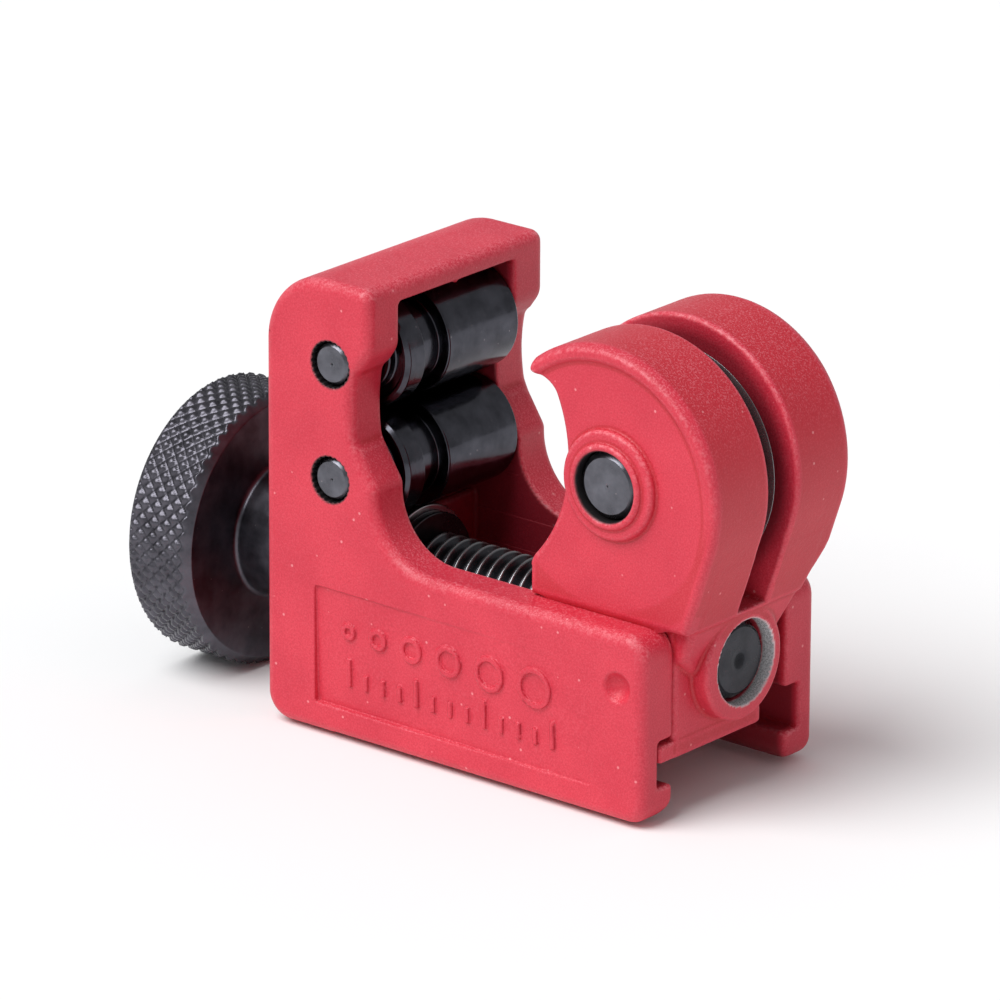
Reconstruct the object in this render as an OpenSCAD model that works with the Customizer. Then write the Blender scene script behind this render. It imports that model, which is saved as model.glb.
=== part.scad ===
// Small screw-feed tube cutter for 3 to 16 mm tube.
// A cast frame carries two rollers; a knob and screw pull a cast slide with the cutting wheel
// towards them. The screw runs along X, the tube lies along Y and +Z is up.
// Lengths along X are counted from the back face of the frame, where the knob is, and
// heights from the flat underside. place() then centres the whole tool over the origin and lifts
// it until the knob, which reaches lower than the frame, stands at zero.

/* [Frame casting] */
// Length of the frame from its back face to its open end
frame_length = 34.2; // [34:0.1:40]
// Width over both side walls
frame_width = 19.2; // [18.4:0.1:22]
// Height of the upright over the rollers
frame_height = 33.4; // [33:0.1:38]
// Depth of the upright from its back face
upright_depth = 9.6; // [9:0.1:10.5]
// Height of the lower side walls, which the slide rides on
arm_height = 13.7; // [13.6:0.1:14.2]
// Width of the channel between the side walls
channel_width = 12.5; // [12.4:0.1:13]
// Thickness of the skin behind the rollers
back_wall = 1.7; // [1.4:0.1:2]
// Thickness of the skin over the upper roller
roof = 1.5; // [1.2:0.1:2]

/* [Rollers] */
// Outer radius of a roller
roller_radius = 4; // [3.6:0.05:4.1]
// Distance of the roller axes from the back face
roller_x = 6.1; // [6:0.1:6.4]
// Height of the middle between the two rollers
roller_mid_z = 23.2; // [23:0.1:24]
// Distance between the two roller axes
roller_spacing = 8.45; // [8.4:0.05:8.8]
// Radius of the fixed roller pins
roller_pin_r = 1.5; // [1.25:0.05:1.75]

/* [Slide casting] */
// Distance of the cutting wheel's axis from the back face, as the tool is shown
wheel_x = 29.5; // [25:0.1:34]
// Height of the cutting wheel's axis
wheel_z = 23.4; // [23.2:0.1:24]
// Outer radius of the two cheeks
cheek_radius = 9.9; // [9.6:0.1:10.4]
// Width over both cheeks
cheek_width = 14.8; // [14:0.1:16]
// Width of the slot that the cutting wheel turns in
slot_width = 3.06; // [3.04:0.01:3.3]

/* [Cutting wheel] */
// Radius of the cutting edge
wheel_radius = 8.3; // [8:0.05:9]
// Radius of the wheel's pin
wheel_pin_r = 2.4; // [2:0.05:2.5]

/* [Feed screw and knob] */
// Height of the screw's axis
screw_z = 9.9; // [9.9:0.05:10]
// Radius over the screw's thread, M6
screw_r = 3; // [2.5:0.05:3]
// Radius of the knob over its knurl
knob_radius = 10.2; // [9.9:0.05:10.4]
// Length of the knob's smooth hub
knob_hub_length = 6.85; // [4:0.05:9]

/* [Hidden] */
$fn = 96;

run = 0.05;                          // radial clearance of a pin or screw that turns in its hole
over = 1;                            // how far a cutting shape runs past a face

// frame
top_corner_r = 5.2;
room_corner_r = 3;
base_corner_r = 2;
foot_corner_r = 1.5;
end_corner_r = 1.8;
blend_r = 5;                         // hollow where the upright meets the side walls
blend_x = 15;
nose = [10.05, 18.7];                // where the hollow ends and the cut between the rollers starts
notch_depth_x = 7.95;
notch_r = 11;
notch_top = 27.1;
notch_step = 1.5;                    // height of the 45 degree step at the notch's top
block_length = 6.1;                  // solid block that carries the screw
block_height = 14.1;
groove_width = 15.6;                 // T-groove that the slide's flanges run in
groove_top = 5.85;
lip_height = 2.45;
lip_round = 1.6;
panel = [25.1, 8.7];                 // sunken panel on the front wall
panel_corner = [4.65, 2.15];
panel_depth = 0.45;
panel_tilt = [1.5, 0.75];            // the panel's floor rises towards the top and the open end
panel_floor = 3;                     // thickness of the block that cuts the panel
dimple = [31.9, 9.8];
dimple_r = 1.05;
dimple_depth = 0.8;

// rollers
roller_length = channel_width - 0.2;
roller_chamfer = 0.7;
groove_from = 2.15;                  // flare groove, counted from the roller's front end
groove_to = 4.75;
groove_root_r = 3.2;
pin_recess = 0.15;

// slide
arc_x = wheel_x - 0.8;                 // centre of the cheeks' outer arc
arc_z = 23.2;
slide_back_x = wheel_x - 6.45;
slide_end_x = wheel_x + 4.7;
shoulder_z = arm_height + 0.1;
heel_round = 1.2;                    // rounding at the foot of the cheeks, next to the blend
hollow_r = 11;                       // tube side of the cheeks
hollow_x = wheel_x - 15.05;
hollow_z = 24.15;
hook_z = 29.8;                       // underside of the hook
hook_x = wheel_x - 7.3;
lean = 18.5;                         // angle of the cheeks' lower front, from upright
apron_z = 9.5;                       // the cheeks' front runs down to here, between the side walls
apron_near = [6.15, 11.3];           // its lower corners on the front and on the far side
apron_far = [6.15, 13.2];
apron_foot = 4.2;                    // half its width at its foot, over the screw's boss
far_corner = [[7.4, 17.2], [5.7, 14]];   // slanted lower front corner on the far side
rim_width = 1.1;                     // raised rim along the cheeks' arc
rim_height = 0.35;
rim_end_z = 17.6;
slot_floor = 14;
tongue_width = channel_width - 0.2;
flange_width = groove_width - 0.3;
flange_z = [4.2, 5.75];
boss_r = [3.95, 3.15];               // boss round the wheel's pin, at its foot and its top
boss_height = 0.9;
end_boss_r = 4;
end_boss_length = 1.4;
relief_length = 4;                   // the tongue is cut back beside the screw on its far side
relief_y = 3.6;
mouth_r = 3.15;
mouth_depth = 1;

// wheel
hub_half = 1.45;
hub_r = 4.3;
disc_half = 0.6;
bevel_r = 6.9;
edge_half = 0.04;
wheel_pin_recess = 0.4;

// screw and knob
screw_end_x = slide_end_x + end_boss_length - 0.6;
tail_r = 2.5;                        // end of the screw that is pressed into the knob
ring_r = 4.3;
ring_groove_r = 2.4;
ring_gap = 2.6;
ring_x = [block_length + 0.65, block_length + 1.35];
washer_r = 4.7;
washer_x = [block_length + 0.05, block_length + 0.55];
knob_hub_r = 4.85;
knob_gap = 0.05;
knob_face_x = -knob_hub_length - knob_gap;
knob_back_x = knob_face_x - 5.7;
knob_chamfer = 0.35;
knob_dish_r = 6.2;
knob_dish_depth = 0.7;
tail_end_x = knob_back_x + knob_dish_depth - 0.4;

// Front edge of the cheeks' lean below the arc, at a height
cheek_tangent = [arc_x + cheek_radius * cos(lean), arc_z - cheek_radius * sin(lean)];
function cheek_front(z) = cheek_tangent[0] - (cheek_tangent[1] - z) * tan(lean);

middle_x = (knob_back_x + arc_x + cheek_radius) / 2;
lift = knob_radius - screw_z;

// Puts the tool's middle over the origin and its lowest point at zero
module place() {
    translate([-middle_x, 0, lift]) children();
}

// Extrudes a side outline, drawn with X across and Z up, evenly to both sides of the mid-plane
module extrude_y(width) {
    rotate([90, 0, 0]) linear_extrude(width, center = true) children();
}

// A round bar along Y at one place of the side view
module bar_y(x, z, r, width) {
    translate([x, 0, z]) rotate([90, 0, 0]) cylinder(r = r, h = width, center = true);
}

// A round bar along X between two distances, on the screw's axis
module bar_x(from, to, r) {
    translate([from, 0, screw_z]) rotate([0, 90, 0]) cylinder(r = r, h = to - from);
}

// A box between two distances along X, evenly to both sides, between two heights
module block(x, width, z) {
    translate([x[0], -width / 2, z[0]]) cube([x[1] - x[0], width, z[1] - z[0]]);
}

// The waste outside a rounded corner: the corner points along dir, a pair of -1 or 1
module corner_waste(corner, r, dir) {
    translate([corner[0] - dir[0] * r, corner[1] - dir[1] * r]) difference() {
        translate([dir[0] > 0 ? 0 : -r - over, dir[1] > 0 ? 0 : -r - over]) square(r + over);
        circle(r = r);
    }
}

// Cut between the rollers, so that the tube rests on them
module notch_outline() {
    low_z = 21.9;
    low_x = notch_depth_x + 0.15;
    intersection() {
        translate([notch_depth_x + notch_r, 24.4]) circle(r = notch_r);
        translate([0, low_z]) square([upright_depth + over, notch_top - low_z]);
    }
    polygon([[upright_depth - notch_step + 0.2, notch_top], [upright_depth, notch_top + notch_step],
             [upright_depth + over, notch_top + notch_step], [upright_depth + over, notch_top]]);
    polygon([[low_x, low_z], [nose[0], nose[1]], [nose[0] + over, nose[1]], [nose[0] + over, low_z]]);
}

// Side view of the frame
module frame_outline() {
    difference() {
        union() {
            square([upright_depth, frame_height]);
            square([frame_length, arm_height]);
            difference() {
                square([blend_x, nose[1]]);
                translate([blend_x, arm_height + blend_r]) circle(r = blend_r);
            }
        }
        notch_outline();
        corner_waste([0, frame_height], top_corner_r, [-1, 1]);
        corner_waste([0, 0], base_corner_r, [-1, -1]);
        corner_waste([frame_length, arm_height], end_corner_r, [1, 1]);
        corner_waste([frame_length, 0], foot_corner_r, [1, -1]);
    }
}

// Side view of the room for the rollers, rounded behind the upper one
module room_outline() {
    ceiling = frame_height - roof;
    difference() {
        translate([back_wall, block_height]) square([frame_length, ceiling - block_height]);
        corner_waste([back_wall, ceiling], room_corner_r, [-1, 1]);
    }
}

// Sunken panel in the front wall, deepest at its lower back corner
module panel_cut() {
    translate([panel_corner[0], -frame_width / 2 + panel_depth, panel_corner[1]])
        rotate([panel_tilt[0], 0, -panel_tilt[1]])
            translate([0, -panel_floor, 0]) cube([panel[0], panel_floor, panel[1]]);
}

module frame() color("crimson") place() difference() {
    extrude_y(frame_width) frame_outline();
    // room for the rollers, and the channel below them
    extrude_y(channel_width) room_outline();
    block([block_length, frame_length + over], channel_width, [-over, block_height + over]);
    // grooves for the slide's flanges
    block([block_length, frame_length + over], groove_width, [lip_height, groove_top]);
    // rounded lower edges of the lips
    for (side = [-1, 1])
        translate([block_length, 0, 0]) rotate([90, 0, 90])
            linear_extrude(frame_length) corner_waste([side * channel_width / 2, 0], lip_round, [-side, -1]);
    for (z = [roller_mid_z - roller_spacing / 2, roller_mid_z + roller_spacing / 2])
        bar_y(roller_x, z, roller_pin_r, frame_width + over);
    bar_x(-over, block_length + over, screw_r + run);
    panel_cut();
    translate([dimple[0], -frame_width / 2 - over, dimple[1]])
        rotate([-90, 0, 0]) cylinder(r = dimple_r, h = over + dimple_depth);
}

module roller_pin(z) {
    bar_y(roller_x, z, roller_pin_r, frame_width - 2 * pin_recess);
}

module roller_pin_upper() color("dimgray") place() roller_pin(roller_mid_z + roller_spacing / 2);

module roller_pin_lower() color("dimgray") place() roller_pin(roller_mid_z - roller_spacing / 2);

// A roller with a flare groove near its front end
module roller(z) {
    translate([roller_x, -roller_length / 2, z]) rotate([-90, 0, 0]) rotate_extrude()
        polygon([[roller_pin_r + run, 0], [roller_radius - roller_chamfer, 0],
                 [roller_radius, roller_chamfer], [roller_radius, groove_from],
                 [groove_root_r, groove_from + 0.2], [groove_root_r, groove_to - 0.2],
                 [roller_radius, groove_to], [roller_radius, roller_length - 0.2],
                 [roller_radius - 0.2, roller_length], [roller_pin_r + run, roller_length]]);
}

module roller_upper() color("black") place() roller(roller_mid_z + roller_spacing / 2);

module roller_lower() color("black") place() roller(roller_mid_z - roller_spacing / 2);

// Side view of the cheeks: a round back, a hollow tube side and a hook over the tube
module cheek_outline() {
    difference() {
        union() {
            translate([arc_x, arc_z]) circle(r = cheek_radius);
            polygon([[slide_back_x, shoulder_z], [cheek_front(shoulder_z), shoulder_z],
                     cheek_tangent, [arc_x, arc_z], [slide_back_x, arc_z]]);
        }
        intersection() {
            translate([hollow_x, hollow_z]) circle(r = hollow_r);
            translate([0, shoulder_z]) square([wheel_x, hook_z - shoulder_z]);
        }
        translate([0, -over]) square([hook_x, hook_z + over + 0.9]);
        square([slide_back_x, arc_z - 5]);
        translate([slide_back_x, 0]) square([frame_length, shoulder_z]);
        corner_waste([slide_back_x, shoulder_z], heel_round, [-1, -1]);
    }
}

module rim_outline() {
    intersection() {
        cheek_outline();
        translate([0, rim_end_z]) square([frame_length * 2, frame_height]);
        difference() {
            translate([arc_x, arc_z]) circle(r = cheek_radius);
            translate([arc_x, arc_z]) circle(r = cheek_radius - rim_width);
        }
    }
}

// Front of the slide below the cheeks, narrowing down to the screw's boss
module apron() {
    top_z = shoulder_z + over;
    back_x = slide_end_x - over;
    intersection() {
        extrude_y(tongue_width)
            polygon([[back_x, apron_z], [cheek_front(apron_z), apron_z],
                     [cheek_front(top_z), top_z], [back_x, top_z]]);
        rotate([90, 0, 90]) linear_extrude(2 * frame_length)
            polygon([[-apron_near[0], top_z], [-apron_near[0], apron_near[1]], [-apron_foot, apron_z],
                     [apron_foot, apron_z], [apron_far[0], apron_far[1]], [apron_far[0], top_z]]);
    }
}

module slide() color("crimson") place() difference() {
    front_x = slide_end_x + end_boss_length;
    union() {
        extrude_y(cheek_width) cheek_outline();
        extrude_y(cheek_width + 2 * rim_height) rim_outline();
        difference() {
            union() {
                block([slide_back_x, slide_end_x], tongue_width, [flange_z[0], shoulder_z]);
                block([slide_back_x, slide_end_x], flange_width, flange_z);
            }
            translate([slide_end_x - relief_length, relief_y, 0]) cube([frame_length, frame_width, shoulder_z]);
        }
        apron();
        bar_x(slide_back_x + over, front_x, end_boss_r);
        for (side = [-1, 1])
            translate([wheel_x, side * cheek_width / 2, wheel_z]) rotate([-side * 90, 0, 0])
                cylinder(r1 = boss_r[0], r2 = boss_r[1], h = boss_height);
    }
    translate([slide_end_x, 0, 0]) rotate([90, 0, 90]) linear_extrude(frame_length)
        polygon([far_corner[0], far_corner[1], [far_corner[1][0], apron_z], [cheek_width, apron_z],
                 [cheek_width, far_corner[0][1]]]);
    block([slide_back_x - over, front_x + 3], slot_width, [slot_floor, frame_height + over]);
    bar_y(wheel_x, wheel_z, wheel_pin_r, frame_width + over);
    bar_x(slide_back_x - over, front_x + over, screw_r + run);
    bar_x(front_x - mouth_depth, front_x + over, mouth_r);
}

module wheel_pin() color("dimgray") place()
    bar_y(wheel_x, wheel_z, wheel_pin_r, cheek_width + 2 * (boss_height - wheel_pin_recess));

module cutter_wheel() color("gray") place()
    translate([wheel_x, 0, wheel_z]) rotate([90, 0, 0]) rotate_extrude()
        polygon([[wheel_pin_r + run, -hub_half], [hub_r, -hub_half], [hub_r, -disc_half],
                 [bevel_r, -disc_half], [wheel_radius, -edge_half], [wheel_radius, edge_half],
                 [bevel_r, disc_half], [hub_r, disc_half], [hub_r, hub_half],
                 [wheel_pin_r + run, hub_half]]);

module feed_screw() color("black") place() {
    bar_x(tail_end_x, -knob_gap, tail_r);
    bar_x(-knob_gap, ring_x[0], screw_r);
    bar_x(ring_x[0], ring_x[1], ring_groove_r);
    bar_x(ring_x[1], screw_end_x, screw_r);
}

module knob() color("black") place()
    translate([0, 0, screw_z]) rotate([0, 90, 0]) rotate_extrude()
        polygon([[tail_r, knob_back_x + knob_dish_depth], [knob_dish_r - 0.6, knob_back_x + knob_dish_depth],
                 [knob_dish_r, knob_back_x], [knob_radius - knob_chamfer, knob_back_x],
                 [knob_radius, knob_back_x + knob_chamfer], [knob_radius, knob_face_x - knob_chamfer],
                 [knob_radius - knob_chamfer, knob_face_x], [knob_hub_r, knob_face_x],
                 [knob_hub_r, -knob_gap], [tail_r, -knob_gap]]);

module thrust_washer() color("silver") place() difference() {
    bar_x(washer_x[0], washer_x[1], washer_r);
    bar_x(0, frame_length, screw_r + run);
}

module retaining_ring() color("dimgray") place() difference() {
    bar_x(ring_x[0], ring_x[1], ring_r);
    bar_x(0, frame_length, ring_groove_r);
    // the ring's open side, through which it is pushed onto the screw
    translate([0, -ring_gap / 2, screw_z - 2 * ring_r]) cube([frame_length, ring_gap, 2 * ring_r]);
}

frame();
roller_pin_upper();
roller_pin_lower();
roller_upper();
roller_lower();
slide();
wheel_pin();
cutter_wheel();
feed_screw();
knob();
thrust_washer();
retaining_ring();
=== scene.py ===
"""Looks of a small screw-feed tube cutter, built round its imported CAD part.

Shapes are made in millimetres in the part's own frame: X is counted from the back face of the frame
casting, where the knob is, Y from the mid-plane and Z from the flat underside. metres() puts them
into the row frame. The two castings are skins over a signed distance, so that every edge and
corner has the soft radius of a casting under paint; turned parts are lathed from a profile.
"""

import math

import bpy
import numpy as np
from mathutils import Matrix, Vector


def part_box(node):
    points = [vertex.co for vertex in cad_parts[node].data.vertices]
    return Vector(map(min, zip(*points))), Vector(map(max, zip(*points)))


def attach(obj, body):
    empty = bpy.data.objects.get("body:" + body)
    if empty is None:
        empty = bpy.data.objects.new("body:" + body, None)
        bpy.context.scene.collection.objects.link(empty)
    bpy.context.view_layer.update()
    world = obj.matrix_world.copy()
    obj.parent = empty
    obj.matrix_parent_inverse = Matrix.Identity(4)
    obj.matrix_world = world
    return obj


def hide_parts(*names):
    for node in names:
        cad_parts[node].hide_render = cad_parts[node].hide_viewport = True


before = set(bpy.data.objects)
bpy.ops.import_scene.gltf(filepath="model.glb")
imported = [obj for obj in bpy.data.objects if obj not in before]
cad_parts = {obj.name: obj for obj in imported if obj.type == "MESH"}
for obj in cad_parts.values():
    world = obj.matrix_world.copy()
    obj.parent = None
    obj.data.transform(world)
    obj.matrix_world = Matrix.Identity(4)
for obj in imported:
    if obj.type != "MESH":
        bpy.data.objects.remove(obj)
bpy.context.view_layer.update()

MM = 0.001
ORIGIN = np.array((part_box("frame")[0].x, 0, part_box("frame")[0].z)) / MM


def box(node):
    """Lowest and highest corner of a CAD node, in millimetres of the part's own frame."""
    return [np.array(corner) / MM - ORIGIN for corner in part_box(node)]


def metres(points):
    """Points of the part's own frame in the row frame."""
    return (points + ORIGIN) * MM


# Sizes read from the frame

FRAME_LENGTH, HALF_WIDTH, FRAME_HEIGHT = box("frame")[1]
SLIDE_LOW, SLIDE_HIGH = box("slide")
WHEEL_LOW, WHEEL_HIGH = box("cutter_wheel")
WHEEL_X, _, WHEEL_Z = (WHEEL_LOW + WHEEL_HIGH) / 2
WHEEL_R = (WHEEL_HIGH[2] - WHEEL_LOW[2]) / 2
WHEEL_PIN_LOW, WHEEL_PIN_HIGH = box("wheel_pin")
WHEEL_PIN_R = (WHEEL_PIN_HIGH[2] - WHEEL_PIN_LOW[2]) / 2
ROLLER_LOW, ROLLER_HIGH = box("roller_upper")
ROLLER_X = (ROLLER_LOW[0] + ROLLER_HIGH[0]) / 2
ROLLER_R = (ROLLER_HIGH[2] - ROLLER_LOW[2]) / 2
ROLLER_END = ROLLER_HIGH[1]
ROLLER_HEIGHTS = {side: sum(box("roller_" + side))[2] / 2 for side in ("upper", "lower")}
PIN_LOW, PIN_HIGH = box("roller_pin_upper")
PIN_R = (PIN_HIGH[2] - PIN_LOW[2]) / 2
KNOB_LOW, KNOB_HIGH = box("knob")
KNOB_R = (KNOB_HIGH[2] - KNOB_LOW[2]) / 2
SCREW_Z = (KNOB_HIGH[2] + KNOB_LOW[2]) / 2
SCREW_LOW, SCREW_HIGH = box("feed_screw")
SCREW_R = (SCREW_HIGH[2] - SCREW_LOW[2]) / 2
WASHER_LOW, WASHER_HIGH = box("thrust_washer")
RING_LOW, RING_HIGH = box("retaining_ring")

# Frame casting
UPRIGHT_DEPTH = 9.6
ARM_HEIGHT = 13.7
HALF_CHANNEL = 6.25
BACK_WALL = 1.7
ROOF = 1.5
BLOCK_LENGTH = 6.1
BLOCK_HEIGHT = 14.1
NOSE = (10.05, 18.7)
HALF_GROOVE = 7.8
GROOVE = (2.45, 5.85)
CAST_EDGE = 0.85
WINDOW_EDGE = 0.28
PANEL = (25.1, 8.7)
PANEL_CORNER = (4.65, 2.15)
PANEL_DEPTH = 0.45
PANEL_RISE = (math.tan(math.radians(0.75)), math.tan(math.radians(1.5)))
DIMPLE = (31.9, 9.8)
HOLE_TEETH = 24

# Slide casting
ARC = (WHEEL_X - 0.8, 23.2)
CHEEK_R = 9.9
HALF_CHEEKS = 7.4
HALF_SLOT = 1.53
SLOT_FLOOR = 14.0
LEAN = math.radians(18.5)
HALF_TONGUE = 6.15
TONGUE_END = WHEEL_X + 4.7
BOSS_END = TONGUE_END + 1.4
RELIEF = (TONGUE_END - 4, 3.6)
FAR_CORNER = ((7.4, 17.2), (5.7, 14.0))
SHOULDER = ARM_HEIGHT + 0.1
MOUTH_R = 3.08


# Signed distances: negative inside, in millimetres. Arguments broadcast against each other.

def meet(a, b, radius=0.02):
    """What is inside both shapes, its edge rounded to a radius."""
    return np.minimum(-radius, np.maximum(a, b)) + np.hypot(
        np.maximum(a + radius, 0), np.maximum(b + radius, 0))


def join(a, b, radius=0.02):
    """Both shapes as one, with a fillet between them."""
    return -meet(-a, -b, radius)


def cut(a, b, radius=0.02):
    """The first shape without the second, its new edge rounded."""
    return meet(a, -b, radius)


def between(value, low, high):
    """Distance to the slab between two values."""
    return np.abs(value - (low + high) / 2) - (high - low) / 2


def disc(u, v, centre, radius):
    return np.hypot(u - centre[0], v - centre[1]) - radius


def outline(*corners):
    """A closed outline through corners (u, v, radius), kept as one arc for each corner:
    its start, end, centre, radius, the direction of its middle and half its sweep."""
    arcs = []
    for i, (u, v, radius) in enumerate(corners):
        corner = np.array((u, v), float)
        before = np.array(corners[i - 1][:2]) - corner
        after = np.array(corners[(i + 1) % len(corners)][:2]) - corner
        before /= np.linalg.norm(before)
        after /= np.linalg.norm(after)
        half = math.acos(np.clip(before @ after, -1, 1)) / 2
        inward = (before + after) / np.linalg.norm(before + after)
        reach = radius / math.tan(half)
        arcs.append((corner + before * reach, corner + after * reach,
                     corner + inward * radius / math.sin(half), radius, -inward, math.pi / 2 - half))
    return arcs


def outline_distance(arcs, u, v):
    nearest = np.inf
    inside = False

    def crosses(a, b):
        if a[1] == b[1]:
            return False
        return ((a[1] > v) != (b[1] > v)) & (u < a[0] + (v - a[1]) * (b[0] - a[0]) / (b[1] - a[1]))

    for arc, following in zip(arcs, arcs[1:] + arcs[:1]):
        start, end, centre, radius, middle, sweep = arc
        du, dv = u - centre[0], v - centre[1]
        out = np.hypot(du, dv)
        facing = du * middle[0] + dv * middle[1]
        on_arc = np.where(facing >= out * math.cos(sweep), np.abs(out - radius), np.inf)
        side = following[0] - end
        share = ((u - end[0]) * side[0] + (v - end[1]) * side[1]) / max(side @ side, 1e-12)
        share = np.clip(share, 0, 1)
        on_side = np.hypot(u - end[0] - share * side[0], v - end[1] - share * side[1])
        nearest = np.minimum(nearest, np.minimum(on_arc, on_side))
        inside = inside ^ ((out < radius) & (facing > radius * math.cos(sweep)))
        inside = inside ^ crosses(start, end) ^ crosses(end, following[0])
    return np.where(inside, -nearest, nearest)


def outline_points(arcs, steps):
    """Points round an outline, steps to an arc, and the outward normal at each."""
    points, normals = [], []
    for start, end, centre, radius, middle, sweep in arcs:
        turn = (start - centre)[0] * (end - centre)[1] - (start - centre)[1] * (end - centre)[0]
        middle_angle = math.atan2(middle[1], middle[0])
        for s in np.linspace(-1, 1, steps):
            angle = middle_angle + math.copysign(sweep, turn) * s
            direction = np.array((math.cos(angle), math.sin(angle)))
            points.append(centre + radius * direction)
            normals.append(direction * math.copysign(1, turn))
    points, normals = np.array(points), np.array(normals)
    area = points[:, 0] @ np.roll(points[:, 1], -1) - points[:, 1] @ np.roll(points[:, 0], -1)
    return points, normals * math.copysign(1, area)


def ruler(*zones):
    """Grid positions over zones of (start, end, step)."""
    ticks = [np.linspace(start, end, max(2, round((end - start) / step) + 1))[:-1]
             for start, end, step in zones]
    return np.append(np.concatenate(ticks), zones[-1][1]).astype(np.float32)


def gradient(distance, points, step=0.01):
    """The distance at each point and its slope there."""
    value = distance(*points.T)
    slope = np.empty_like(points)
    for axis in range(3):
        moved = points.copy()
        moved[:, axis] += step
        slope[:, axis] = distance(*moved.T) - value
    return value, slope / step


def skin(distance, xs, ys, zs):
    """The surface where a signed distance is zero: one point in each grid cell that it passes
    through, moved onto the surface, and one quad over each grid edge that it crosses."""
    value = distance(xs[:, None, None], ys[None, :, None], zs[None, None, :])
    value = np.broadcast_to(value, (len(xs), len(ys), len(zs)))
    inside = value < 0
    cells = tuple(n - 1 for n in inside.shape)
    count = np.zeros(cells, np.int8)
    for i, j, k in np.ndindex(2, 2, 2):
        count += inside[i:cells[0] + i, j:cells[1] + j, k:cells[2] + k]
    mixed = np.argwhere((count > 0) & (count < 8))
    index = np.full(cells, -1)
    index[tuple(mixed.T)] = np.arange(len(mixed))

    total = np.zeros((len(mixed), 3), np.float32)
    crossings = np.zeros(len(mixed), np.float32)
    for axis in range(3):
        for i, j in np.ndindex(2, 2):
            corner = mixed + np.insert((i, j), axis, 0)
            far = corner.copy()
            far[:, axis] += 1
            near_value, far_value = value[tuple(corner.T)], value[tuple(far.T)]
            crossed = (near_value < 0) != (far_value < 0)
            share = np.where(crossed, near_value / np.where(crossed, near_value - far_value, 1), 0)
            ends = [np.stack([c[at[:, n]] for n, c in enumerate((xs, ys, zs))], 1) for at in (corner, far)]
            total += np.where(crossed[:, None], ends[0] + share[:, None] * (ends[1] - ends[0]), 0)
            crossings += crossed
    points = total / crossings[:, None]

    quads = []
    for axis in range(3):
        low = [slice(1, -1)] * 3
        high = [slice(1, -1)] * 3
        low[axis], high[axis] = slice(0, -1), slice(1, None)
        enters = inside[tuple(high)].astype(np.int8) - inside[tuple(low)]
        at = np.argwhere(enters != 0)
        flips = enters[tuple(at.T)] > 0
        at[:, [n for n in range(3) if n != axis]] += 1
        ring = []
        for i, j in ((0, 0), (1, 0), (1, 1), (0, 1)):
            cell = at - np.insert((i, j), axis, 0)
            ring.append(index[tuple(cell.T)])
        ring = np.stack(ring, 1)
        if axis == 1:
            flips = ~flips
        ring[flips] = ring[flips][:, ::-1]
        quads.append(ring)
    return points, np.concatenate(quads)


def settle(distance, points, rounds=2, reach=0.1):
    """Moves points onto the surface and returns them with the surface normals there."""
    for _ in range(rounds):
        value, slope = gradient(distance, points)
        length = np.maximum(np.linalg.norm(slope, axis=1), 0.3)
        step = np.clip(value / length, -reach, reach) / length
        points = points - step[:, None] * slope
    _, slope = gradient(distance, points)
    return points, slope / np.linalg.norm(slope, axis=1)[:, None]


def sharpness(distance, points, step=0.2):
    """How convex the surface is at each point, above 0 on outer edges and below 0 in corners."""
    total = -6 * distance(*points.T)
    for axis in range(3):
        shift = np.zeros(3)
        shift[axis] = step
        total += distance(*(points + shift).T) + distance(*(points - shift).T)
    return total / step ** 2


# Pieces

def new_piece(name, points, face_sets, material, body, nodes, normals=None, attributes=None):
    """A mesh piece that stands for CAD nodes and rides on a body."""
    mesh = bpy.data.meshes.new(name)
    corners = np.concatenate([faces.ravel() for faces in face_sets]).astype(np.int32)
    sizes = np.concatenate([np.full(len(faces), faces.shape[1]) for faces in face_sets])
    mesh.vertices.add(len(points))
    mesh.vertices.foreach_set("co", metres(points).astype(np.float32).ravel())
    mesh.loops.add(len(corners))
    mesh.loops.foreach_set("vertex_index", corners)
    mesh.polygons.add(len(sizes))
    mesh.polygons.foreach_set("loop_start", np.concatenate([[0], np.cumsum(sizes)[:-1]]).astype(np.int32))
    mesh.update(calc_edges=True)
    mesh.validate()
    mesh.shade_smooth()
    for key, values in (attributes or {}).items():
        layer = mesh.attributes.new(key, "FLOAT", "POINT")
        layer.data.foreach_set("value", values.astype(np.float32))
    if normals is not None:
        mesh.normals_split_custom_set_from_vertices(normals.astype(np.float32))
    piece = bpy.data.objects.new(name, mesh)
    bpy.context.scene.collection.objects.link(piece)
    for part in material if isinstance(material, (list, tuple)) else [material]:
        mesh.materials.append(part)
    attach(piece, body)
    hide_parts(*nodes)
    return piece


def turned(profile, steps, axis, centre):
    """Points, faces and normals of a closed profile of (along, out) turned round a line along
    axis 0, X, or 1, Y, through centre. profile is (points, normals)."""
    (along, out), slope = profile[0].T, profile[1]
    angles = np.linspace(0, 2 * math.pi, steps, endpoint=False)
    spokes = np.stack([np.cos(angles), np.sin(angles)], 1)
    across = [1, 2] if axis == 0 else [2, 0]
    points = np.empty((steps, len(along), 3))
    normals = np.empty_like(points)
    points[:, :, axis] = along
    normals[:, :, axis] = slope[:, 0]
    for n, direction in enumerate(across):
        points[:, :, direction] = spokes[:, n, None] * out
        normals[:, :, direction] = spokes[:, n, None] * slope[:, 1]
    points = points + centre
    ring = np.arange(steps)[:, None] * len(along)
    here = np.arange(len(along))[None, :]
    there = np.roll(np.arange(len(along)), -1)[None, :]
    next_ring = np.roll(np.arange(steps), -1)[:, None] * len(along)
    faces = np.stack([ring + here, ring + there, next_ring + there, next_ring + here], -1).reshape(-1, 4)
    return points.reshape(-1, 3), faces[:, ::-1], normals.reshape(-1, 3)


# Frame casting

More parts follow.
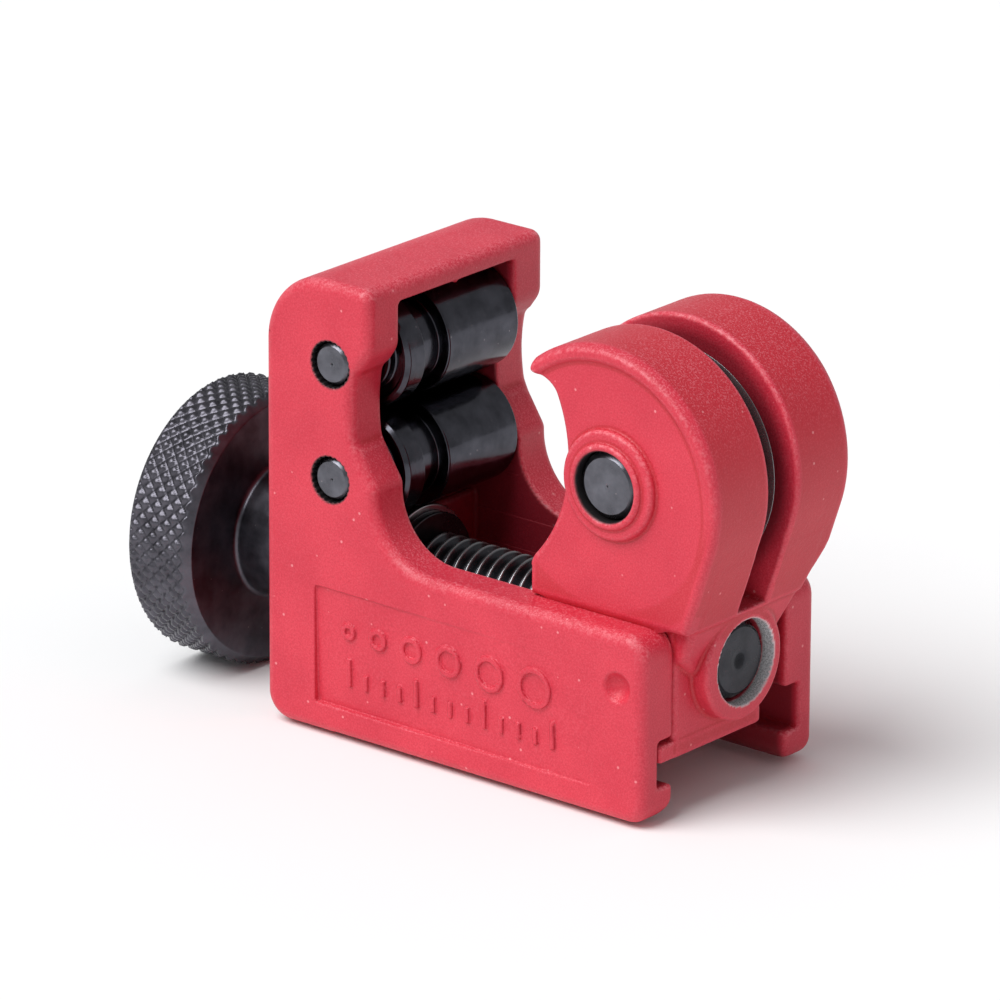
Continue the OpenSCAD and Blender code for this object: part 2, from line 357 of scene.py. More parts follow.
FRAME_SIDE = outline(
    (0, 0, 2), (FRAME_LENGTH, 0, 1.5), (FRAME_LENGTH, ARM_HEIGHT, 1.8), (NOSE[0], ARM_HEIGHT, 4.9),
    (NOSE[0], NOSE[1] + 0.3, 1.2), (8.15, 21.9, 3.0), (8.3, 26.9, 2.2), (UPRIGHT_DEPTH, 28.7, 1.8),
    (UPRIGHT_DEPTH, FRAME_HEIGHT, 0.9), (0, FRAME_HEIGHT, 5.3))
CHANNEL = outline(
    (0, -3, 0), (12, -3, 0), (12, 0, 0), (HALF_CHANNEL, 0, 1.6), (HALF_CHANNEL, GROOVE[0], 0.3),
    (HALF_GROOVE, GROOVE[0], 0.25), (HALF_GROOVE, GROOVE[1], 0.25), (HALF_CHANNEL, GROOVE[1], 0.3),
    (HALF_CHANNEL, 50, 0), (0, 50, 0))
ROOM = outline(
    (BLOCK_LENGTH, -5, 0), (50, -5, 0), (50, FRAME_HEIGHT - ROOF, 0), (BACK_WALL, FRAME_HEIGHT - ROOF, 3.0),
    (BACK_WALL, BLOCK_HEIGHT, 0.4), (BLOCK_LENGTH, BLOCK_HEIGHT, 0.4))


def size_marks(u, v):
    """Raised marks on the panel: a row of rings of rising size over a row of ticks."""
    marks = np.inf
    for n in range(6):
        ring_r = 0.45 + 0.17 * n
        ring_u = 3.0 + 2.55 * n + 0.17 * n * n
        marks = np.minimum(marks, np.abs(disc(u, v, (ring_u, 5.9), ring_r)) - 0.2)
    for n in range(13):
        half_height = 1.05 if n % 4 == 0 else 0.6
        tick = meet(np.abs(u - 3.0 - 1.55 * n) - 0.2, np.abs(v - 1.75 - half_height) - half_height, 0.1)
        marks = np.minimum(marks, tick)
    return marks


def frame_body(x, y, z):
    """The frame casting without its panel and dimple."""
    side = cut(outline_distance(FRAME_SIDE, x, z),
               meet(disc(x, z, (18.95, 24.4), 11), between(z, 21.6, 27.3), 0.5), 0.4)
    body = meet(side, np.abs(y) - HALF_WIDTH, CAST_EDGE)
    void = meet(outline_distance(CHANNEL, np.abs(y), z), outline_distance(ROOM, x, z), 0.3)
    body = cut(body, void, WINDOW_EDGE)
    for height in ROLLER_HEIGHTS.values():
        angle = np.arctan2(z - height, x - ROLLER_X)
        hole = disc(x, z, (ROLLER_X, height), PIN_R + 0.17 + 0.05 * np.cos(HOLE_TEETH * angle))
        body = cut(body, hole, 0.06)
    return cut(body, meet(disc(y, z, (0, SCREW_Z), SCREW_R + 0.12), x - BLOCK_LENGTH - 0.3, 0.1), 0.25)


def frame_distance(x, y, z):
    body = frame_body(x, y, z)
    u, v = x - PANEL_CORNER[0], z - PANEL_CORNER[1]
    floor = PANEL_DEPTH - HALF_WIDTH - u * PANEL_RISE[0] - v * PANEL_RISE[1]
    sunken = meet(between(u, 0, PANEL[0]), between(v, 0, PANEL[1]), 0.25)
    body = cut(body, meet(sunken, y - floor, 0.1), 0.1)
    marks = meet(size_marks(u, v), floor - 0.22 - y, 0.08)
    body = join(body, meet(marks, y + HALF_WIDTH - 1, 0.1), 0.06)
    sink = np.sqrt((x - DIMPLE[0]) ** 2 + (y + HALF_WIDTH + 0.35) ** 2 + (z - DIMPLE[1]) ** 2) - 1.15
    return cut(body, sink, 0.2)


def fade_in(value, start, width):
    """0 up to start, rising to 1 over a width."""
    return np.clip((value - start) / width, 0, 1)


def frame_gap_shade(x, y, z):
    """Black painted shade on the walls of the roller pins' holes, in the gap round each pin."""
    out = np.minimum(*[np.hypot(x - ROLLER_X, z - height) for height in ROLLER_HEIGHTS.values()])
    return fade_in(-out, -PIN_R - 0.32, 0.1)


def frame_deep(x, y, z):
    """Painted shade on the inner walls of the channel and of the rollers' room, darker than the outside."""
    void = meet(outline_distance(CHANNEL, np.abs(y), z), outline_distance(ROOM, x, z))
    open_end = np.where(z > NOSE[1], UPRIGHT_DEPTH, FRAME_LENGTH)
    return fade_in(-void, -0.1, 0.08) * fade_in(open_end - x, 0.3, 0.5)


# Black painted shade on the wall of the wheel pin's hole, in the gap round the pin.
def slide_gap_shade(x, y, z):
    return fade_in(-np.hypot(x - WHEEL_X, z - WHEEL_Z), -WHEEL_PIN_R - 0.24, 0.1)


def slide_deep(x, y, z):
    """Painted shade on the walls of the wheel's slot, away from its edges."""
    inward = CHEEK_R - np.hypot(x - ARC[0], z - ARC[1])
    return fade_in(-np.abs(y), -HALF_SLOT - 0.1, 0.08) * fade_in(inward, 0.2, 1.2)


def slide_bare(x, y, z):
    """Unpainted steel in the turned mouth of the screw's hole, kept bright as a painted reflection."""
    return fade_in(-np.hypot(y, z - SCREW_Z), -MOUTH_R - 0.1, 0.08) * fade_in(x, BOSS_END - 1.1, 0.1)


def casting(name, distance, grid, edge_distance, **marks):
    """A casting's skin. marks are functions that say where its colours go: black painted shade in gaps,
    painted shade on inner walls, and unpainted steel kept bright as a painted reflection.
    """
    node = name.removesuffix("_casting")
    points, faces = skin(distance, *grid)
    points, normals = settle(distance, points)
    attributes = {key: where(*points.T) for key, where in marks.items()}
    attributes["edge"] = sharpness(edge_distance, points)
    return new_piece(name, points, [faces], RED, node, [node], normals, attributes)


# Slide casting

TANGENT = (ARC[0] + CHEEK_R * math.cos(LEAN), ARC[1] - CHEEK_R * math.sin(LEAN))
APRON = outline((-HALF_TONGUE, SHOULDER + 5, 0), (-HALF_TONGUE, 11.3, 0.6), (-4.2, 9.5, 0.6), (4.2, 9.5, 0.6),
                (HALF_TONGUE, 13.2, 0.6), (HALF_TONGUE, SHOULDER + 5, 0))


def front_x(z):
    """The cheeks' leaning front edge below their arc."""
    return TANGENT[0] - (TANGENT[1] - z) * math.tan(LEAN)


def lower_front(x, z):
    return (x - front_x(z)) * math.cos(LEAN)


def cheek_side(x, z):
    """Side view of the cheeks."""
    back, foot_z = SLIDE_LOW[0], SHOULDER - 1
    lower = outline((back, foot_z, 0), (front_x(foot_z), foot_z, 0), (*TANGENT, 0), (*ARC, 0),
                    (back, ARC[1] - 5, 0))
    cheek = np.minimum(disc(x, z, ARC, CHEEK_R), outline_distance(lower, x, z))
    hollow = meet(disc(x, z, (WHEEL_X - 15.05, 24.15), 11), z - 29.8, 1.0)
    cheek = cut(cheek, meet(hollow, SHOULDER - 1 - z, 0.1), 0.45)
    hook_front = meet(x - (WHEEL_X - 7.3), z - 30.7, 0.1)
    return cut(cheek, hook_front, 0.5)


def slide_distance(x, y, z):
    across = np.abs(y)
    back = SLIDE_LOW[0]
    cheek = cheek_side(x, z)
    cheeks = meet(meet(cheek, SHOULDER - z, 0.15), across - HALF_CHEEKS, 0.5)
    band = between(np.hypot(x - ARC[0], z - ARC[1]), CHEEK_R - 1.1, CHEEK_R + 1)
    rise = np.clip((z - 18.5) / 11, 0, 1) * (SLIDE_HIGH[1] - 0.55 - HALF_CHEEKS + 0.3) - 0.3
    rim = meet(meet(band, cheek + 0.2, 0.1), across - HALF_CHEEKS - rise, 0.35)
    body = join(cheeks, rim, 0.3)

    tongue = meet(meet(between(x, back, TONGUE_END), between(z, SLIDE_LOW[2], SHOULDER + 0.6), 0.3),
                  across - HALF_TONGUE, 0.4)
    flange = meet(meet(between(x, back, TONGUE_END), between(z, SLIDE_LOW[2], SLIDE_LOW[2] + 1.25), 0.2),
                  across - HALF_GROOVE + 0.15, 0.25)
    tongue = cut(join(tongue, flange, 0.15), meet(RELIEF[0] - x, meet(RELIEF[1] - y, z - SHOULDER), 0.5), 0.6)
    apron = meet(outline_distance(APRON, y, z), meet(lower_front(x, z) + 0.15, TONGUE_END - 1 - x), 0.6)
    body = join(body, apron, 0.3)
    (corner_y, corner_z), (foot_y, foot_z) = FAR_CORNER
    slant = np.hypot(corner_y - foot_y, corner_z - foot_z)
    corner = ((y - corner_y) * (corner_z - foot_z) - (z - corner_z) * (corner_y - foot_y)) / slant
    body = cut(body, meet(-corner, TONGUE_END - x, 0.3), 0.4)
    body = join(body, tongue, 0.2)
    end_boss = meet(disc(y, z, (-0.2, SCREW_Z), 4.15), between(x, back + 2, BOSS_END), 0.3)
    body = join(body, end_boss, 0.2)
    out = np.hypot(x - WHEEL_X, z - WHEEL_Z)
    for tier_r, height in ((3.95, 0.55), (3.15, 0.9)):
        tier = meet(out - tier_r + 0.15 * (across - HALF_CHEEKS), across - HALF_CHEEKS - height, 0.25)
        body = join(body, meet(tier, HALF_CHEEKS - 1 - across, 0.1), 0.1)

    slot = meet(across - HALF_SLOT, SLOT_FLOOR - z, 0.25)
    body = cut(body, slot, 0.35)
    body = cut(body, out - WHEEL_PIN_R - 0.1, 0.3)
    screw_out = np.hypot(y, z - SCREW_Z)
    body = cut(body, screw_out - SCREW_R - 0.05, 0.06)
    return cut(body, meet(screw_out - MOUTH_R, BOSS_END - 1 - x, 0.02), 0.08)


# Turned parts

def roller(side):
    """A roller with its flare groove near the front end, turned all over."""
    front, far = -ROLLER_END, ROLLER_END
    bore = PIN_R + 0.06
    arcs = outline(
        (front, bore, 0.1), (front, 2.5, 0.15), (front + 0.55, 2.65, 0.15), (front + 0.55, 3.3, 0.1),
        (front + 0.3, 3.45, 0.1), (front + 0.3, ROLLER_R - 0.3, 0.1), (front + 0.55, ROLLER_R, 0.15),
        (front + 2.15, ROLLER_R, 0.15), (front + 2.3, 3.35, 0.1), (front + 2.7, 3.3, 0.1),
        (front + 2.8, 3.1, 0.1), (front + 4.6, 3.1, 0.12), (front + 4.75, ROLLER_R, 0.15), (far, ROLLER_R, 0.2), (far, bore, 0.1))
    centre = np.array((ROLLER_X, 0, ROLLER_HEIGHTS[side]))
    points, faces, normals = turned(outline_points(arcs, 7), 128, 1, centre)
    name = "roller_" + side
    return new_piece(name + "_turned", points, [faces], BLACK, name, [name], normals)


def roller_pin(side):
    """A ground pin, its ends chamfered, with the centre mark of the lathe."""
    end = PIN_HIGH[1]
    arcs = outline(
        (-end + 0.12, 0, 0), (-end + 0.02, 0.14, 0.04), (-end, 0.3, 0.1), (-end, PIN_R - 0.22, 0.06),
        (-end + 0.2, PIN_R, 0.1), (end - 0.2, PIN_R, 0.1), (end, PIN_R - 0.22, 0.06), (end, 0.3, 0.1),
        (end - 0.02, 0.14, 0.04), (end - 0.12, 0, 0))
    centre = np.array((ROLLER_X, 0, ROLLER_HEIGHTS[side]))
    points, faces, normals = turned(outline_points(arcs, 5), 96, 1, centre)
    name = "roller_pin_" + side
    return new_piece(name + "_ground", points, [faces], PIN, "frame", [name], normals)


def wheel_pin():
    end = WHEEL_PIN_HIGH[1]
    arcs = outline(
        (-end + 0.1, 0, 0), (-end + 0.02, 0.12, 0.04), (-end, 0.25, 0.1), (-end, WHEEL_PIN_R - 0.4, 0.08),
        (-end + 0.35, WHEEL_PIN_R, 0.15), (end - 0.35, WHEEL_PIN_R, 0.15), (end, WHEEL_PIN_R - 0.4, 0.08),
        (end, 0.25, 0.1), (end - 0.02, 0.12, 0.04), (end - 0.1, 0, 0))
    centre = np.array((WHEEL_X, 0, WHEEL_Z))
    points, faces, normals = turned(outline_points(arcs, 5), 112, 1, centre)
    return new_piece("wheel_pin_ground", points, [faces], PIN, "slide", ["wheel_pin"], normals)


def cutter_wheel():
    hub, half_disc = WHEEL_HIGH[1], 0.6
    arcs = outline(
        (-hub, WHEEL_PIN_R + 0.06, 0.12), (-hub, 4.3, 0.15), (-half_disc, 4.3, 0.3), (-half_disc, 6.9, 0.1),
        (-0.03, WHEEL_R, 0.02), (0.03, WHEEL_R, 0.02), (half_disc, 6.9, 0.1), (half_disc, 4.3, 0.3),
        (hub, 4.3, 0.15), (hub, WHEEL_PIN_R + 0.06, 0.12))
    centre = np.array((WHEEL_X, 0, WHEEL_Z))
    points, faces, normals = turned(outline_points(arcs, 6), 256, 1, centre)
    ground_and_glint = 0.35 * (np.hypot(points[:, 0] - WHEEL_X, points[:, 2] - WHEEL_Z) > WHEEL_R - 0.15)
    return new_piece("cutter_wheel_ground", points, [faces], WHEEL, "cutter_wheel",
                     ["cutter_wheel"], normals, {"ground_and_glint": ground_and_glint})


def profile_points(corners, spacing):
    """A profile's points no further apart than spacing, as (along, out)."""
    points, _ = outline_points(outline(*corners), 6)
    made = []
    for a, b in zip(points, np.roll(points, -1, 0)):
        pieces = max(1, math.ceil(np.linalg.norm(b - a) / spacing))
        made += [a + (b - a) * n / pieces for n in range(pieces)]
    return np.array(made)


def knob():
    """The knob: its rim is diamond knurled between two chamfers, and its hub runs to the frame."""
    back, face, front = KNOB_LOW[0], -6.9, KNOB_HIGH[0]
    bore = 2.5
    corners = [
        (back + 0.7, bore, 0.1), (back + 0.7, 5.5, 0.3), (back, 6.4, 0.3), (back, KNOB_R - 0.4, 0.1),
        (back + 0.35, KNOB_R, 0.1), (face - 0.6, KNOB_R, 0.1), (face, KNOB_R - 0.65, 0.15),
        (face, 4.85, 0.35), (front - 0.1, 4.85, 0.1), (front, 4.7, 0.05), (front, bore, 0.1)]
    profile = profile_points(corners, 0.12)
    diamonds = 56
    steps = diamonds * 8
    angles = np.linspace(0, 2 * math.pi, steps, endpoint=False)[:, None]
    along, out = profile[:, 0][None, :], profile[:, 1][None, :]
    pitch = 2 * math.pi * KNOB_R / diamonds
    turn = angles * diamonds / (2 * math.pi)
    rows = along / pitch
    grooves = [np.abs((turn + sign * rows) % 1 - 0.5) for sign in (-1, 1)]
    groove = np.clip(1 - np.minimum(*grooves) / 0.27, 0, 1) * 0.27
    on_rim = (along > back + 0.2) & (along < face - 0.2) & (out > KNOB_R - 1)
    radius = np.where(on_rim, np.minimum(out, KNOB_R - groove), out)
    points = np.stack([along + 0 * radius, radius * np.cos(angles), radius * np.sin(angles)], -1)
    points = points.reshape(-1, 3) + (0, 0, SCREW_Z)
    n = len(profile)
    ring = np.arange(steps)[:, None] * n
    next_ring = np.roll(np.arange(steps), -1)[:, None] * n
    here, there = np.arange(n)[None, :], np.roll(np.arange(n), -1)[None, :]
    faces = np.stack([ring + here, ring + there, next_ring + there, next_ring + here], -1).reshape(-1, 4)
    return new_piece("knob_knurled", points, [faces[:, ::-1]], KNURL, "knob", ["knob"])


def feed_screw():
    """The M6 x 1 screw: a thread in front of the retaining ring and a tail pressed into the knob."""
    pitch, rows, steps = 1.0, 14, 72
    start, end = RING_HIGH[0], SCREW_HIGH[0]
    depth = 0.6
    count = int((end - start) / pitch) * rows + 2 * rows
    angles = np.linspace(0, 2 * math.pi, steps + 1)[:, None]
    phase = np.arange(count)[None, :] / rows
    along = start + (phase - 1 + angles / (2 * math.pi)) * pitch
    wave = np.abs((phase % 1) - 0.5) * 2
    thread = SCREW_R - depth * np.clip((wave - 0.12) / 0.7, 0, 1)
    x = np.clip(along, start, end)
    chamfer = SCREW_R - 0.6 + np.minimum(end - x, x - start)
    radius = np.minimum(thread + 0 * x, chamfer)
    points = np.stack([x, radius * np.cos(angles), radius * np.sin(angles)], -1)
    n = count
    ring = np.arange(steps)[:, None] * n
    here = np.arange(n - 1)[None, :]
    faces = np.stack([ring + here, ring + here + 1, ring + n + here + 1, ring + n + here], -1).reshape(-1, 4)
    points = points.reshape(-1, 3)
    thread_points = len(points)

    ends = outline((SCREW_LOW[0], 0, 0), (SCREW_LOW[0], 1.9, 0.1), (SCREW_LOW[0] + 0.5, 2.5, 0.1),
                   (-0.05, 2.5, 0.05), (-0.05, SCREW_R, 0.05), (RING_LOW[0], SCREW_R, 0.1),
                   (RING_LOW[0], 2.4, 0.05), (RING_HIGH[0], 2.4, 0.05), (RING_HIGH[0] + 0.1, 2.25, 0.05),
                   (end - 0.4, 2.25, 0.02), (end - 0.2, SCREW_R - 0.45, 0.02), (end, SCREW_R - 0.62, 0.1),
                   (end, 0.9, 0.3), (end - 0.1, 0, 0))
    tail_points, tail_faces, _ = turned(outline_points(ends, 4), 72, 0, np.array((0, 0, SCREW_Z)))
    points = np.concatenate([points + (0, 0, SCREW_Z), tail_points])
    faces = np.concatenate([faces[:, ::-1], tail_faces + thread_points])
    # Painted glint: the thread's crests are coloured bright.
    crest = (np.hypot(points[:, 1], points[:, 2] - SCREW_Z) > SCREW_R - 0.05) & (points[:, 0] > start)
    return new_piece("feed_screw_threaded", points, [faces], SCREW, "knob", ["feed_screw"],
                     attributes={"ground_and_glint": 0.5 * crest})


def ring_distance(x, y, z):
    """The open ring that holds the screw in the frame, with its three inner lugs."""
    out = np.hypot(y, z - SCREW_Z)
    angle = np.arctan2(z - SCREW_Z, y)
    lug = 0.5 + 0.5 * np.cos(3 * (angle - math.pi / 2))
    flat = meet(out - 4.3, (2.42 + 0.55 * (1 - lug)) - out, 0.1)
    gap = meet(np.abs(y) - 1.3, z - SCREW_Z, 0.1)
    flat = cut(flat, gap, 0.4)
    return meet(flat, between(x, RING_LOW[0], RING_HIGH[0]), 0.12)


def retaining_ring():
    grid = (ruler((RING_LOW[0] - 0.1, RING_HIGH[0] + 0.1, 0.1)), ruler((-4.6, 4.6, 0.1)),
            ruler((SCREW_Z - 4.6, SCREW_Z + 4.6, 0.1)))
    points, faces = skin(ring_distance, *grid)
    points, normals = settle(ring_distance, points, reach=0.05)
    return new_piece("retaining_ring_stamped", points, [faces], RING, "knob",
                     ["retaining_ring"], normals)


def thrust_washer():
    low, high = WASHER_LOW[0], WASHER_HIGH[0]
    outer = (WASHER_HIGH[2] - WASHER_LOW[2]) / 2
    arcs = outline((low, SCREW_R + 0.06, 0.08), (low, outer, 0.15), (high, outer, 0.1),
                   (high, SCREW_R + 0.06, 0.08))
    points, faces, normals = turned(outline_points(arcs, 5), 96, 0, np.array((0, 0, SCREW_Z)))
    return new_piece("thrust_washer_stamped", points, [faces], ZINC, "knob",
                     ["thrust_washer"], normals)


# Materials

class Recipe:
    """A node material under construction. Sizes of patterns are in millimetres."""

    def __init__(self, name, **settings):
        self.material = bpy.data.materials.new(name)
        self.material.use_nodes = True
        self.tree = self.material.node_tree
        self.shader = self.tree.nodes["Principled BSDF"]
        self.place = self.tree.nodes.new("ShaderNodeTexCoord").outputs["Object"]
        for socket, value in settings.items():
            self.shader.inputs[socket.replace("_", " ")].default_value = value

    def add(self, kind, inputs, output=0, **settings):
        node = self.tree.nodes.new("ShaderNode" + kind)
        for key, value in settings.items():
            setattr(node, key, value)
        for key, value in inputs.items():
            self.feed(node.inputs[key], value)
        return node.outputs[output]

    def feed(self, socket, value):
        if isinstance(value, bpy.types.NodeSocket):
            self.tree.links.new(value, socket)
        else:
            socket.default_value = value

    def noise(self, size, detail=2.0, roughness=0.5, stretch=(1, 1, 1)):
        """Noise with features about size millimetres across, stretched along the axes."""
        place = self.place
        if stretch != (1, 1, 1):
            place = self.add("Mapping", {"Vector": place, "Scale": [1 / s for s in stretch]})
        return self.add("TexNoise", {"Vector": place, "Scale": 1 / (size * MM), "Detail": detail,
                                     "Roughness": roughness})

    def spread(self, value, low, high, to_low=0.0, to_high=1.0):
        return self.add("MapRange", {"Value": value, "From Min": low, "From Max": high,
                                     "To Min": to_low, "To Max": to_high})

    def blend(self, share, first, second, kind="MIX"):
        return self.add("Mix", {0: share, 6: first, 7: second}, 2, data_type="RGBA", blend_type=kind)

    def math(self, operation, *values):
        return self.add("Math", dict(enumerate(values)), operation=operation)

    def bump(self, *layers, strength=1.0):
        """Stacks (height, depth in millimetres) layers into the surface normal."""
        normal = None
        for height, depth in layers:
            inputs = {"Height": height, "Distance": depth * MM, "Strength": strength}
            if normal is not None:
                inputs["Normal"] = normal
            normal = self.add("Bump", inputs)
        self.feed(self.shader.inputs["Normal"], normal)

    def set(self, **inputs):
        for socket, value in inputs.items():
            self.feed(self.shader.inputs[socket.replace("_", " ")], value)


def red_paint():
    """Satin crimson powder coat with a sandy grain, painted glints on the grain and a painted highlight
    on outer edges, both stronger on top, painted shade in the grain's hollows, in inner corners and on
    inner walls, black painted shade in the gaps round the pins, and unpainted steel where a hole was
    turned after painting, kept bright as a painted reflection."""
    paint = Recipe("crimson_powder_coat", Specular_IOR_Level=0.45)
    curve = paint.add("Attribute", {}, 2, attribute_name="edge")
    # Masks of painted light: black painted shade in the pins' gaps, unpainted steel kept bright as a painted
    # reflection, and painted shade on inner walls.
    gap = paint.add("Attribute", {}, 2, attribute_name="gap")
    bare = paint.add("Attribute", {}, 2, attribute_name="bare")
    deep = paint.add("Attribute", {}, 2, attribute_name="deep")
    facing = paint.add("SeparateXYZ", {"Vector": paint.add("NewGeometry", {}, 1)}, 2)
    upward = paint.spread(facing, 0.3, 0.9)
    sand = paint.noise(0.13, 3, 0.6)
    cloud = paint.noise(5, 3)
    base = paint.blend(paint.spread(cloud, 0.35, 0.65), (0.60, 0.024, 0.052, 1), (0.67, 0.034, 0.064, 1))
    # Painted shade: a darker, deeper red in inner corners, where the edge measure falls below 0.
    base = paint.blend(paint.spread(curve, -0.2, -1.2, 0, 0.6), base, (0.48, 0.006, 0.014, 1))
    # Painted shade in the hollows of the sand grain, the same noise that drives the bump.
    painted_grain_shade = paint.math("MULTIPLY", paint.spread(sand, 0.5, 0.36), 0.35)
    base = paint.blend(painted_grain_shade, base, (0.44, 0.012, 0.028, 1))
    # Painted glints: pale specks on the grain's peaks, stronger on faces that look up.
    painted_grain_glints = paint.math("MULTIPLY", paint.spread(sand, 0.5, 0.66), paint.spread(upward, 0, 1, 0.08, 0.34))
    base = paint.blend(painted_grain_glints, base, (0.92, 0.36, 0.42, 1))
    dust = paint.add("TexVoronoi", {"Vector": paint.place, "Scale": 1 / (1.7 * MM)}, feature="F1")
    base = paint.blend(paint.spread(dust, 0.04, 0.075, 0.5, 0), base, (0.9, 0.4, 0.42, 1))
    # Painted highlight: paler in patches along outer edges, stronger on edges that face up.
    painted_edge_highlight = paint.math("MULTIPLY", paint.spread(curve, 0.5, 2.2),
                      paint.spread(paint.noise(0.3, 3, 0.7), 0.42, 0.62))
    painted_edge_highlight = paint.math("MULTIPLY", painted_edge_highlight, paint.spread(facing, 0, 0.7, 0.08, 0.42))
    base = paint.blend(painted_edge_highlight, base, (0.93, 0.36, 0.40, 1))
    # Painted shade: dark red on the inner walls of the channel, the rollers' room and the slot.
    base = paint.blend(paint.math("MULTIPLY", deep, 0.72), base, (0.10, 0.002, 0.006, 1))
    # Painted shade: black on the hole walls in the gaps round the pins.
    base = paint.blend(gap, base, (0.012, 0.010, 0.011, 1))
    # Unpainted steel in the screw's mouth, bright and part diffuse: a painted reflection.
    base = paint.blend(bare, base, (0.8, 0.8, 0.82, 1))
    matt = paint.spread(sand, 0.3, 0.7, 0.40, 0.55)
    paint.set(Base_Color=base, Metallic=paint.math("MULTIPLY", bare, 0.4),
              Roughness=paint.math("SUBTRACT", matt, paint.math("MULTIPLY", bare, 0.2)))
    paint.bump((paint.noise(0.8, 2), 0.02), (sand, 0.02), (paint.noise(0.3, 2), 0.016),
               strength=paint.math("SUBTRACT", 1.0, bare))
    return paint.material


def black_oxide(name, base, roughness, marks, metallic=0.85):
    """Turned steel with a black oxide finish: fine tool marks round the axis, faint patches, flecks
    of dust, bright steel on the wheel's sharpened edge and a painted glint on the screw's thread crests."""
    steel = Recipe(name, Metallic=metallic, Specular_IOR_Level=0.5)
    patches = steel.noise(1.6, 4, 0.6)
    tool = steel.noise(0.12, 2, 0.5, marks)
    pale = [c * 1.8 for c in base]
    colour = steel.blend(steel.spread(patches, 0.35, 0.75), (*base, 1), (*pale, 1))
    dust = steel.add("TexVoronoi", {"Vector": steel.place, "Scale": 1 / (1.1 * MM)}, feature="F1")
    colour = steel.blend(steel.math("MULTIPLY", steel.spread(dust, 0.03, 0.06, 1, 0), 0.6), colour,
                         (0.35, 0.3, 0.32, 1))
    # Bright mark: steel on the wheel's sharpened edge, and a painted glint on the screw's thread crests.
    ground_and_glint = steel.add("Attribute", {}, 2, attribute_name="ground_and_glint")
    colour = steel.blend(ground_and_glint, colour, (0.5, 0.5, 0.52, 1))
    steel.set(Base_Color=colour,
              Roughness=steel.spread(patches, 0.3, 0.7, roughness - 0.06, roughness + 0.08))
    steel.bump((tool, 0.004), (steel.noise(0.5, 2), 0.004))
    return steel.material


ALONG_Y = (8, 1, 8)
ALONG_X = (1, 8, 8)
RED = red_paint()
BLACK = black_oxide("glossy_black_oxide", (0.05, 0.05, 0.06), 0.18, ALONG_Y, metallic=1.0)
KNURL = black_oxide("knurled_black_oxide", (0.075, 0.072, 0.085), 0.34, ALONG_X, metallic=1.0)
SCREW = black_oxide("threaded_black_oxide", (0.03, 0.03, 0.035), 0.25, ALONG_X)
RING = black_oxide("stamped_black_oxide", (0.04, 0.04, 0.045), 0.3, ALONG_X)
PIN = black_oxide("dark_pin_steel", (0.10, 0.10, 0.115), 0.3, ALONG_Y, metallic=1.0)
WHEEL = black_oxide("black_wheel_steel", (0.03, 0.03, 0.034), 0.25, ALONG_Y)
ZINC = black_oxide("zinc_plate", (0.5, 0.5, 0.52), 0.3, ALONG_X, metallic=1.0)


# Build

half = HALF_WIDTH
frame_grid = (
    ruler((-0.6, 4.2, 0.24), (4.2, 8.0, 0.1), (8.0, FRAME_LENGTH + 0.4, 0.18)),
    ruler((-half - 0.3, -half + 0.9, 0.15), (-half + 0.9, -HALF_CHANNEL - 0.3, 0.3),
          (-HALF_CHANNEL - 0.3, -HALF_CHANNEL + 0.3, 0.15), (-HALF_CHANNEL + 0.3, HALF_CHANNEL - 0.3, 0.4),
          (HALF_CHANNEL - 0.3, HALF_CHANNEL + 0.3, 0.15), (HALF_CHANNEL + 0.3, half - 0.9, 0.4),
          (half - 0.9, half + 0.3, 0.2)),
    ruler((-0.4, 11.2, 0.16), (11.2, 17.0, 0.24), (17.0, 20.9, 0.1), (20.9, 25.5, 0.24), (25.5, 29.4, 0.1),
          (29.4, FRAME_HEIGHT + 0.4, 0.24)))
casting("frame_casting", frame_distance, frame_grid, frame_body, gap=frame_gap_shade, deep=frame_deep)
slide_grid = (
    ruler((SLIDE_LOW[0] - 1.2, SLIDE_HIGH[0] + 0.4, 0.17)),
    ruler((-8.6, -7.0, 0.12), (-7.0, -5.4, 0.25), (-5.4, 5.4, 0.16), (5.4, 7.0, 0.25), (7.0, 8.6, 0.12)),
    ruler((SLIDE_LOW[2] - 0.4, SLIDE_HIGH[2] + 0.4, 0.16)))
casting("slide_casting", slide_distance, slide_grid, slide_distance,
        gap=slide_gap_shade, deep=slide_deep, bare=slide_bare)
for side in ("upper", "lower"):
    roller(side)
    roller_pin(side)
wheel_pin()
cutter_wheel()
knob()
feed_screw()
retaining_ring()
thrust_washer()


# Studio

VIEWED = np.array((13.53, 0, 16.63))


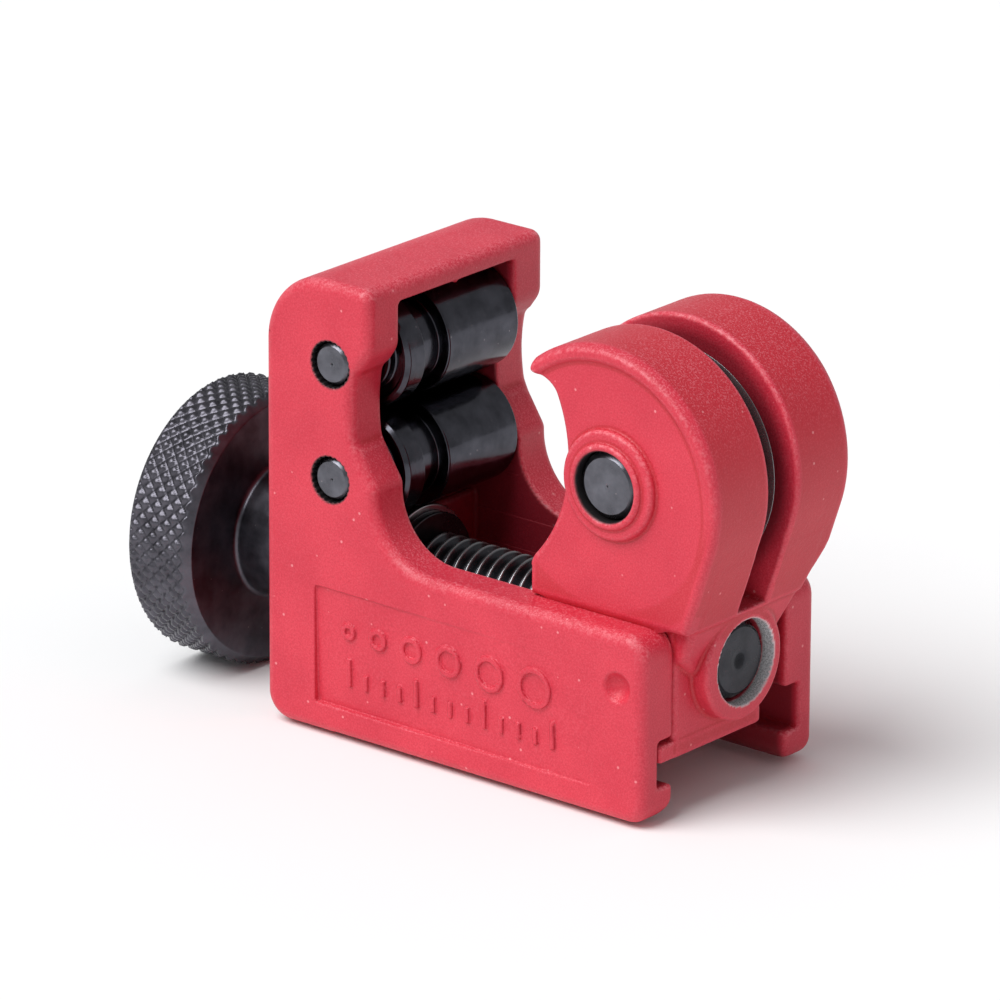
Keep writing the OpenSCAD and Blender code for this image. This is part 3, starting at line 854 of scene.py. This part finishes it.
def camera():
    """The camera stands where the reference view was taken from."""
    azimuth, elevation, roll = math.radians(39.656), math.radians(19.482), math.radians(0.286)
    back = Vector((math.sin(azimuth) * math.cos(elevation), -math.cos(azimuth) * math.cos(elevation),
                   math.sin(elevation)))
    right = Vector((0, 0, 1)).cross(back).normalized()
    up = back.cross(right)
    tilted = right * math.cos(roll) + up * math.sin(roll)
    data = bpy.data.cameras.new("camera")
    data.lens, data.sensor_width = 324.2, 36
    data.clip_start, data.clip_end = 0.05, 50
    eye = bpy.data.objects.new("camera", data)
    axes = Matrix((tilted, back.cross(tilted), back)).transposed().to_4x4()
    eye.matrix_world = Matrix.Translation(Vector(metres(VIEWED)) + back * 0.63) @ axes
    bpy.context.scene.collection.objects.link(eye)
    bpy.context.scene.camera = eye


def soft_sun(azimuth, elevation, strength):
    """A wide soft key light from far away, so that the floor is lit evenly."""
    a, e = math.radians(azimuth), math.radians(elevation)
    back = Vector((math.sin(a) * math.cos(e), -math.cos(a) * math.cos(e), math.sin(e)))
    data = bpy.data.lights.new("key", "SUN")
    data.energy, data.angle = strength, math.radians(45)
    lamp = bpy.data.objects.new("key", data)
    lamp.rotation_mode = "QUATERNION"
    lamp.rotation_quaternion = back.to_track_quat("Z", "Y")
    bpy.context.scene.collection.objects.link(lamp)


def studio():
    world = bpy.data.worlds.new("studio")
    world.use_nodes = True
    tree = world.node_tree
    place = tree.nodes.new("ShaderNodeTexCoord")
    height = tree.nodes.new("ShaderNodeSeparateXYZ")
    fade = tree.nodes.new("ShaderNodeMapRange")
    tree.links.new(place.outputs["Generated"], height.inputs[0])
    tree.links.new(height.outputs["Z"], fade.inputs["Value"])
    fade.inputs["From Min"].default_value = 0.0
    fade.inputs["From Max"].default_value = 0.8
    fade.inputs["To Min"].default_value = 0.5
    fade.inputs["To Max"].default_value = 0.35
    background = tree.nodes["Background"]
    background.inputs["Color"].default_value = (0.98, 0.99, 1, 1)
    tree.links.new(fade.outputs[0], background.inputs["Strength"])
    bpy.context.scene.world = world
    mesh = bpy.data.meshes.new("floor")
    reach = 3.0
    corners = [(-reach, -reach, 0), (reach, -reach, 0), (reach, reach, 0), (-reach, reach, 0)]
    mesh.from_pydata(corners, [], [(0, 1, 2, 3)])
    floor = bpy.data.objects.new("floor", mesh)
    pale = Recipe("pale_floor", Roughness=0.7, Specular_IOR_Level=0.2)
    pale.set(Base_Color=pale.blend(pale.noise(40, 2), (0.93, 0.93, 0.94, 1), (0.96, 0.96, 0.96, 1)))
    mesh.materials.append(pale.material)
    bpy.context.scene.collection.objects.link(floor)
    soft_sun(-18, 55, 2.8)
    bpy.context.scene.view_settings.view_transform = "Standard"


camera()
studio()
